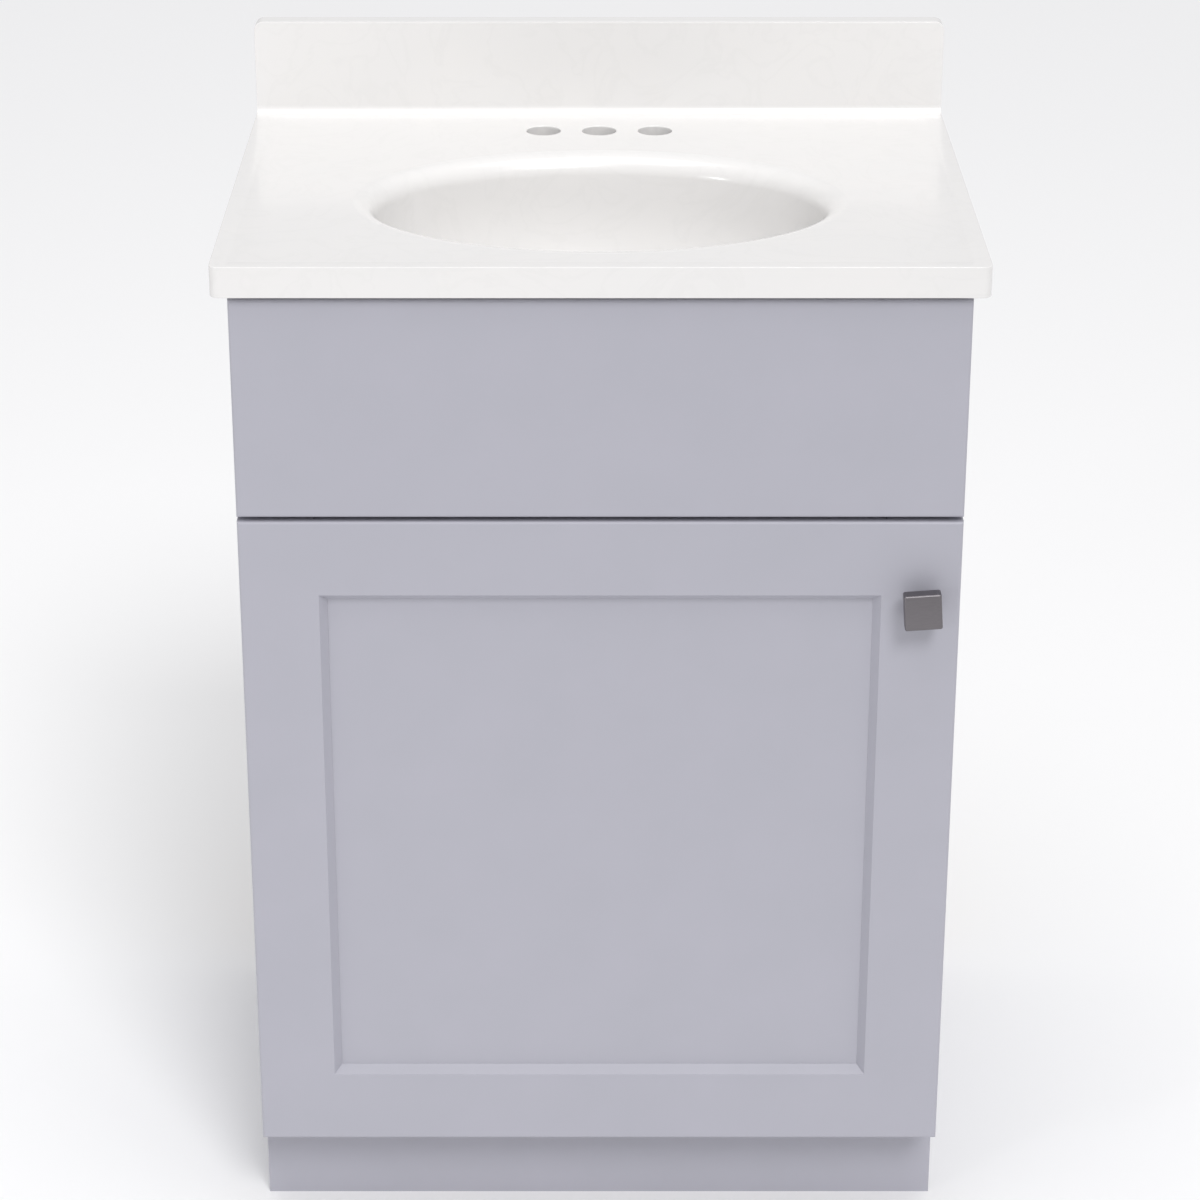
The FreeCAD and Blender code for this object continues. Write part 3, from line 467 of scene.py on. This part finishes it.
def centre_of(face):
    return sum((vertex.co for vertex in face.verts), Vector()) / len(face.verts)


def pick(kind, test):
    """Selects only the vertices, edges or faces that pass the test, and says how many."""
    mode = {"verts": "VERT", "edges": "EDGE", "faces": "FACE"}[kind]
    bpy.ops.mesh.select_all(action="DESELECT")
    bpy.ops.mesh.select_mode(type=mode)
    mesh = bmesh.from_edit_mesh(bpy.context.edit_object.data)
    count = 0
    for element in getattr(mesh, kind):
        if test(element):
            element.select_set(True)
            count += 1
    mesh.select_flush_mode()
    bmesh.update_edit_mesh(bpy.context.edit_object.data)
    return count


def all_at(element, test):
    """True if every vertex of the edge or face passes the test on its place."""
    return all(test(vertex.co) for vertex in element.verts)


def apply_modifier(piece, kind, **settings):
    deselect_objects()
    bpy.context.view_layer.objects.active = piece
    piece.select_set(True)
    modifier = piece.modifiers.new(kind.lower(), kind)
    for name, value in settings.items():
        setattr(modifier, name, value)
    bpy.ops.object.modifier_apply(modifier=modifier.name)


SMOOTH_ANGLE = math.radians(38)


def finish_piece(piece, finish, body, replaced):
    """Welds, faces outwards, smooths, and hands the piece to its body and its node's place."""
    start_editing(piece)
    bpy.ops.mesh.select_all(action="SELECT")
    bpy.ops.mesh.remove_doubles(threshold=0.005 * MM)
    bpy.ops.mesh.normals_make_consistent(inside=False)
    mesh = bmesh.from_edit_mesh(piece.data)
    open_edges = sum(1 for edge in mesh.edges if len(edge.link_faces) != 2)
    bpy.ops.object.mode_set(mode="OBJECT")
    bpy.ops.object.shade_smooth_by_angle(angle=SMOOTH_ANGLE)
    apply_modifier(piece, "WEIGHTED_NORMAL", keep_sharp=True)
    piece.data.materials.clear()
    piece.data.materials.append(finish)
    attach(piece, body)
    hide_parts(replaced)
    print(piece.name, len(piece.data.polygons), "faces,", open_edges, "open edges")


# %% [markdown]
# ## The cast top
#
# Deck, backsplash and bowl are one casting. On the real one every corner is soft: the mould is
# polished clay and wax, so the deck flows up the backsplash in a cove, rolls over the rim
# into the bowl, and carries a low lip round its front and sides that keeps water off the
# floor. A boolean of a box and an ellipsoid would leave a hard crease round the bowl. So the
# slab is modelled from a block, and its deck is then refilled round rings: one circle, made
# oval, is extruded ring by ring over the rim and down to the drain, out through it and back
# up outside. The flat deck between the rings is filled last.

# %% Sizes of the casting
BACKSPLASH_THICKNESS = 19 * MM
CORNER_ROUND = 8 * MM
COVE_RADIUS = 8 * MM
EDGE_ROUND = 3 * MM
EDGE_STEPS = 4
SHARP = math.radians(50)           # edges that turn more than this are eased
LIP_HEIGHT = 1.0 * MM
LIP_WIDTH = 13 * MM
LIP_SLOPE = 3.5 * MM
UNDER_RIM = 36 * MM                # solid band round the underside
UNDER_RIM_FRONT = 46 * MM
slab_low = Vector((top_low.x, top_low.y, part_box("side_panel_left")[1].z))
half_width = top_high.x
backsplash_face = top_high.y - BACKSPLASH_THICKNESS
ceiling_z = deck_z - 2 * deck_half_thickness      # underside of the deck, inside the band
print("top", round(2 * half_width, 4), "wide, backsplash face at", round(backsplash_face, 4))

# %% The slab and the backsplash
vanity_top = block("marble_top", slab_low, (top_high.x, top_high.y, deck_z))
start_editing(vanity_top)
bpy.ops.mesh.select_all(action="SELECT")
bpy.ops.mesh.bisect(plane_co=(0, backsplash_face, 0), plane_no=(0, 1, 0))
picked = pick("faces", lambda face: face.normal.z > 0.9 and centre_of(face).y > backsplash_face)
bpy.ops.mesh.extrude_region_move(TRANSFORM_OT_translate={"value": (0, 0, top_high.z - deck_z)})
print("extruded", picked, "face up to the crest")


# %% Round the corners and run the cove
def at_side(place):
    return abs(abs(place.x) - half_width) < NEAR


def runs_along(edge, axis):
    run = edge.verts[1].co - edge.verts[0].co
    return abs(run[axis]) > 0.99 * run.length


def upright_front_corner(edge):
    at_front = all_at(edge, lambda place: at_side(place) and place.y < slab_low.y + NEAR)
    return at_front and runs_along(edge, 2)


def crest_end(edge):
    at_end = all_at(edge, lambda place: at_side(place) and place.z > top_high.z - NEAR)
    return at_end and runs_along(edge, 1)


def cove_line(edge):
    return all_at(edge, lambda place: abs(place.y - backsplash_face) < NEAR
                  and abs(place.z - deck_z) < NEAR)


ROUND_STEPS = 8
for corner, radius in ((upright_front_corner, CORNER_ROUND), (crest_end, CORNER_ROUND),
                       (cove_line, COVE_RADIUS)):
    picked = pick("edges", corner)
    bpy.ops.mesh.bevel(offset=radius, segments=ROUND_STEPS, affect="EDGES")
    print(corner.__name__, picked, "edges rounded")

# %% [markdown]
# The lip is a strip of the deck a millimetre higher than the rest. Bisecting the block where
# the strip and its slope begin gives it edges to lift, with no height lost in the corners.

# %% Raise the lip
for inset in (LIP_WIDTH, LIP_WIDTH + LIP_SLOPE):
    for plane_place, plane_normal in (
            ((half_width - inset, 0, 0), (1, 0, 0)),
            ((inset - half_width, 0, 0), (1, 0, 0)),
            ((0, slab_low.y + inset, 0), (0, 1, 0))):
        bpy.ops.mesh.select_all(action="SELECT")
        bpy.ops.mesh.bisect(plane_co=plane_place, plane_no=plane_normal)


def on_lip(place):
    outside = (abs(place.x) > half_width - LIP_WIDTH - NEAR
               or place.y < slab_low.y + LIP_WIDTH + NEAR)
    return abs(place.z - deck_z) < NEAR and outside and place.y < backsplash_face


picked = pick("verts", lambda vertex: on_lip(vertex.co))
bpy.ops.transform.translate(value=(0, 0, LIP_HEIGHT))
print("lifted", picked, "vertices of the lip")
bpy.ops.object.mode_set(mode="OBJECT")
apply_modifier(vanity_top, "BEVEL", width=EDGE_ROUND, segments=EDGE_STEPS,
               limit_method="ANGLE", angle_limit=SHARP)

# %% [markdown]
# ### Rings
#
# The bowl's section is worked out once: how far in and how far down each ring is. The rim
# starts level with the deck, so that it needs no crease, and turns down over two arcs. The
# wall is a superellipse, steeper than a plain ellipse, that arrives level at the drain.

# %% The bowl's section
BOWL_HALF_WIDTH = 210 * MM         # the oval at which the bowl starts
BOWL_HALF_LENGTH = 142 * MM
RIM_RADIUS = 20 * MM
RIM_SLOPE = math.radians(25)       # where the outer, softer arc hands over
SOFT_RADIUS = 24 * MM
BOWL_DEPTH = 134 * MM
FLOOR_RADIUS = 31 * MM             # level floor round the drain
BOWL_WALL = drain["dims"]["length_mm"] * MM
drain_radius = drain["dims"]["r_mm"] * MM
FULLNESS = 2.5                     # the wall's power: 2 would be a plain ellipse
SOFT_STEPS, TIGHT_STEPS = 4, 8     # rings on the rim's two arcs
INSIDE_STEPS, OUTSIDE_STEPS = 18, 14
bowl_x, bowl_y = drain["pos_m"][0], drain["pos_m"][1]
wall_in = BOWL_HALF_LENGTH - RIM_RADIUS * (1 - math.sin(RIM_SLOPE))
wall_down = RIM_RADIUS * math.cos(RIM_SLOPE)
print("bowl at", bowl_x, bowl_y, "its wall starts", round(wall_down / MM, 1), "mm down")


def rim_section():
    """(half length, depth) from the level deck to where the wall is upright."""
    soft_in = SOFT_RADIUS * math.sin(RIM_SLOPE)
    soft_down = SOFT_RADIUS * (1 - math.cos(RIM_SLOPE))
    tight_radius = (wall_down - soft_down) / math.cos(RIM_SLOPE)
    start = wall_in + tight_radius * (1 - math.sin(RIM_SLOPE)) + soft_in
    rings = []
    for step in range(SOFT_STEPS + 1):
        slope = RIM_SLOPE * step / SOFT_STEPS
        rings.append((start - SOFT_RADIUS * math.sin(slope), SOFT_RADIUS * (1 - math.cos(slope))))
    for step in range(1, TIGHT_STEPS + 1):
        slope = RIM_SLOPE + (math.pi / 2 - RIM_SLOPE) * step / TIGHT_STEPS
        rings.append((start - soft_in - tight_radius * (math.sin(slope) - math.sin(RIM_SLOPE)),
                      soft_down + tight_radius * (math.cos(RIM_SLOPE) - math.cos(slope))))
    return rings


def wall_section(start_in, start_down, depth, steps):
    """(half length, depth) down the wall, from upright to level."""
    rings = []
    for step in range(1, steps + 1):
        angle = math.pi / 2 * step / steps
        across = math.cos(angle) ** (2 / FULLNESS) if step < steps else 0.0
        below = math.sin(angle) ** (2 / FULLNESS)
        rings.append((FLOOR_RADIUS + (start_in - FLOOR_RADIUS) * across,
                      start_down + (depth - start_down) * below))
    return rings


# %% [markdown]
# A ring's size and height are kept in a vector beside it: x and y are its half width and half
# length, and z its height. So each extrusion can be scaled from the ring before it.

# %% Tools for rings
OVAL_POINTS = 144                  # round the bowl
ROUND_POINTS = 64                  # round small holes and turned pieces


def new_ring(centre, half_x, half_y, points):
    """A circle added in edit mode and stretched to an oval; it is left selected."""
    bpy.ops.mesh.select_all(action="DESELECT")
    bpy.ops.mesh.primitive_circle_add(vertices=points, radius=1, location=centre)
    bpy.ops.transform.resize(value=(half_x, half_y, 1), center_override=centre)
    return Vector((half_x, half_y, centre[2]))


def next_ring(ring, centre, half_x, half_y, height):
    """Extrudes the selected ring to another size and height."""
    bpy.ops.mesh.extrude_region_move()
    bpy.ops.transform.resize(value=(half_x / ring.x, half_y / ring.y, 1),
                             center_override=(centre[0], centre[1], ring.z))
    bpy.ops.transform.translate(value=(0, 0, height - ring.z))
    return Vector((half_x, half_y, height))


# %% Extrude the bowl's inside
start_editing(vanity_top)
oval = BOWL_HALF_WIDTH / BOWL_HALF_LENGTH
bowl_centre = (bowl_x, bowl_y, deck_z)
inside = rim_section()
rim_start = inside[0][0]
inside += wall_section(wall_in, wall_down, BOWL_DEPTH, INSIDE_STEPS)


def stretched(half_length):
    """An inside ring's half width. The rim keeps its width all round; the wall widens."""
    beyond = max(half_length - wall_in, 0)
    return (half_length - beyond) * oval + beyond


ring = new_ring(bowl_centre, stretched(rim_start), rim_start, OVAL_POINTS)
rim_ring = ring.copy()
for half_length, down in inside[1:]:
    ring = next_ring(ring, bowl_centre, stretched(half_length), half_length, deck_z - down)
print("rim starts at", [round(v, 4) for v in rim_ring], "and the floor at", round(ring.z, 4))

# %% Through the drain
DRAIN_DISH = 1.2 * MM              # shallow seat for the drain's flange
DISH_SLOPE = 2 * MM                # each of the two steps down into the dish
DRAIN_EASE = 0.8 * MM              # eased edge of the drain's hole
floor_z = deck_z - BOWL_DEPTH
for radius, height in ((FLOOR_RADIUS, floor_z),
                       (FLOOR_RADIUS - DISH_SLOPE, floor_z - DRAIN_DISH / 4),
                       (FLOOR_RADIUS - 2 * DISH_SLOPE, floor_z - DRAIN_DISH),
                       (drain_radius + DRAIN_EASE, floor_z - DRAIN_DISH),
                       (drain_radius, floor_z - DRAIN_DISH - DRAIN_EASE),
                       (drain_radius, floor_z - BOWL_WALL + DRAIN_EASE),
                       (drain_radius + DRAIN_EASE, floor_z - BOWL_WALL)):
    ring = next_ring(ring, bowl_centre, radius, radius, height)
print("drain of", round(2 * drain_radius / MM, 1), "mm")

# %% Up the outside
outer_oval = (BOWL_HALF_WIDTH + BOWL_WALL) / (BOWL_HALF_LENGTH + BOWL_WALL)
outer_in = wall_in + BOWL_WALL
outside = wall_section(outer_in, wall_down, BOWL_DEPTH + BOWL_WALL, OUTSIDE_STEPS)
outside.reverse()
for half_length, down in outside:
    ring = next_ring(ring, bowl_centre, half_length * outer_oval, half_length, deck_z - down)
SHELL_FLARE = 3 * MM               # fillet where the shell meets the underside of the deck
HALFWAY_FLARE = 0.8 * MM
SHELL_STRAIGHT = 5 * MM            # upright stretch below the fillet
for flare, below_deck in ((0, wall_down + SHELL_STRAIGHT),
                          (HALFWAY_FLARE, deck_z - ceiling_z + SHELL_FLARE / 2),
                          (SHELL_FLARE, deck_z - ceiling_z)):
    ring = next_ring(ring, bowl_centre, outer_in * outer_oval + flare, outer_in + flare,
                     deck_z - below_deck)
print("shell ends at", [round(v, 4) for v in ring])

# %% The faucet's holes
HOLE_LIP = 1.2 * MM
HOLE_STEPS = 4
for hole in faucet_holes:
    centre = (hole["pos_m"][0], hole["pos_m"][1], deck_z)
    ring = new_ring(centre, faucet_radius + HOLE_LIP, faucet_radius + HOLE_LIP, ROUND_POINTS)
    for step in range(1, HOLE_STEPS + 1):
        turn = math.pi / 2 * step / HOLE_STEPS
        radius = faucet_radius + HOLE_LIP * (1 - math.sin(turn))
        ring = next_ring(ring, centre, radius, radius, deck_z - HOLE_LIP * (1 - math.cos(turn)))
    ring = next_ring(ring, centre, faucet_radius, faucet_radius, ceiling_z)
print(len(faucet_holes), "holes of", round(2 * faucet_radius / MM, 1), "mm")


# %% [markdown]
# Now the flat faces. The old deck face is deleted, which leaves its outline. Fill then spans
# the outline and the rings inside it with triangles, which stay invisible on a flat face.

# %% Fill the deck
def open_edge_at(height):
    """A test for edges at a height that still want a face."""
    def test(edge):
        return len(edge.link_faces) < 2 and all_at(edge, lambda place: abs(place.z - height) < NEAR)
    return test


def fill_at(height):
    """Fills between all the open outlines at a height."""
    picked = pick("edges", open_edge_at(height))
    bpy.ops.mesh.fill(use_beauty=True)
    return picked


HALF_DECK = half_width * (backsplash_face - slab_low.y)


def inner_deck(face):
    """True for the one big face of the deck, inside the lip."""
    level = face.normal.z > 0.9 and abs(centre_of(face).z - deck_z) < NEAR
    return level and face.calc_area() > HALF_DECK


pick("faces", inner_deck)
bpy.ops.mesh.delete(type="ONLY_FACE")
print("deck filled between", fill_at(deck_z), "edges")


# %% [markdown]
# Under the deck the casting is hollow, and a solid band round the edge sits on the cabinet. The
# underside is filled the same way, between its outline and a rectangle added inside it. The
# rectangle is then extruded up, and filled round the bowl and the faucet's holes.

# %% Fill the underside and raise the hollow
def underside(face):
    return face.normal.z < -0.9 and abs(centre_of(face).z - slab_low.z) < NEAR


pick("faces", underside)
bpy.ops.mesh.dissolve_faces()
pick("faces", underside)
bpy.ops.mesh.delete(type="ONLY_FACE")
hollow_low = Vector((UNDER_RIM - half_width, slab_low.y + UNDER_RIM_FRONT, slab_low.z))
hollow_high = Vector((half_width - UNDER_RIM, top_high.y - UNDER_RIM, slab_low.z))
hollow_middle = (hollow_low + hollow_high) / 2
bpy.ops.mesh.select_all(action="DESELECT")
bpy.ops.mesh.primitive_plane_add(size=1, location=hollow_middle)
bpy.ops.transform.resize(value=(hollow_high.x - hollow_low.x, hollow_high.y - hollow_low.y, 1),
                         center_override=hollow_middle)
bpy.ops.mesh.delete(type="ONLY_FACE")
print("band filled between", fill_at(slab_low.z), "edges")

picked = pick("edges", open_edge_at(slab_low.z))
bpy.ops.mesh.extrude_region_move(TRANSFORM_OT_translate={"value": (0, 0, ceiling_z - slab_low.z)})
print("hollow's outline has", picked, "edges, ceiling filled between", fill_at(ceiling_z), "edges")
finish_piece(vanity_top, marble, "cabinet", "vanity_top")

# %% [markdown]
# ## The knob
#
# A square knob is cast with a face that swells slightly, on a waisted neck and a round base.
# The head starts as a block: its edges are bevelled, and insets that each step forward a
# little less than the one before give the swell.

# %% The knob's head
KNOB_SIZE = 31.75 * MM
KNOB_HEAD = 14 * MM
KNOB_SWELL = 1.1 * MM
KNOB_EDGE = 1.8 * MM
KNOB_TURN = math.radians(4)        # a knob on one screw is seldom quite square
SWELL_STEPS = 6
SWELL_REACH = 0.92                 # share of the flat face that the insets cross
knob_low, knob_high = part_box("knob")
knob_x = (knob_low.x + knob_high.x) / 2
knob_z = (knob_low.z + knob_high.z) / 2
face_y = knob_low.y
door_face = knob_high.y
half = KNOB_SIZE / 2
half_flat = half - KNOB_EDGE
knob = block("square_knob", (knob_x - half, face_y + KNOB_SWELL, knob_z - half),
             (knob_x + half, face_y + KNOB_HEAD, knob_z + half))
apply_modifier(knob, "BEVEL", width=KNOB_EDGE, segments=EDGE_STEPS)
start_editing(knob)
picked = pick("faces", lambda face: face.normal.y < -0.999 and face.calc_area() > half_flat ** 2)
for step in range(SWELL_STEPS):
    swell_before = math.sin(math.pi / 2 * step / SWELL_STEPS)
    swell_after = math.sin(math.pi / 2 * (step + 1) / SWELL_STEPS)
    bpy.ops.mesh.inset(thickness=half_flat * SWELL_REACH / SWELL_STEPS, depth=0)
    bpy.ops.transform.translate(value=(0, -KNOB_SWELL * (swell_after - swell_before), 0))
print("knob face", picked, "inset", SWELL_STEPS, "times")

# %% [markdown]
# The neck and base are turned, so they are a circle extruded ring by ring away from the door.
# The last ring is inside the head, and a union then makes head and neck one casting. The whole
# knob is turned a little about its screw at the end.

# %% The neck and base
BASE_RADIUS = 9.5 * MM
BASE_EASE = 0.4 * MM
NECK_RADIUS = 6.5 * MM
NECK_PROFILE = (                   # radius, and distance out from the door
    (BASE_RADIUS, BASE_EASE),
    (BASE_RADIUS, 2.2 * MM),       # the base's rim
    (BASE_RADIUS - 0.3 * MM, 2.8 * MM),
    (BASE_RADIUS - 1.0 * MM, 3.1 * MM),
    (NECK_RADIUS + 1.0 * MM, 3.4 * MM),
    (NECK_RADIUS + 0.2 * MM, 4.4 * MM),
    (NECK_RADIUS, 6.5 * MM),       # the waist
    (NECK_RADIUS + 0.2 * MM, 9.0 * MM),
    (NECK_RADIUS + 1.0 * MM, 12.0 * MM),
    (NECK_RADIUS + 1.6 * MM, 14.0 * MM),
)
deselect_objects()
ring_radius = BASE_RADIUS - BASE_EASE
bpy.ops.mesh.primitive_circle_add(vertices=ROUND_POINTS, radius=ring_radius, fill_type="NGON",
                                  location=(knob_x, door_face, knob_z),
                                  rotation=(math.radians(90), 0, 0))
neck = bpy.context.active_object
neck.name = "knob_neck"
bpy.ops.object.transform_apply(location=True, rotation=True, scale=True)
start_editing(neck)
bpy.ops.mesh.select_all(action="SELECT")
ring_out = 0.0
for radius, out in NECK_PROFILE:
    bpy.ops.mesh.extrude_region_move()
    factor = radius / ring_radius
    bpy.ops.transform.resize(value=(factor, 1, factor),
                             center_override=(knob_x, door_face - ring_out, knob_z))
    bpy.ops.transform.translate(value=(0, ring_out - out, 0))
    ring_radius = radius
    ring_out = out
bpy.ops.mesh.select_all(action="SELECT")
bpy.ops.mesh.normals_make_consistent(inside=False)
bpy.ops.object.mode_set(mode="OBJECT")
apply_modifier(knob, "BOOLEAN", object=neck, operation="UNION", solver="EXACT")
bpy.data.objects.remove(neck)
start_editing(knob)
bpy.ops.mesh.select_all(action="SELECT")
bpy.ops.transform.rotate(value=KNOB_TURN, orient_axis="Y",
                         center_override=(knob_x, door_face, knob_z))
finish_piece(knob, nickel, "door", "knob")
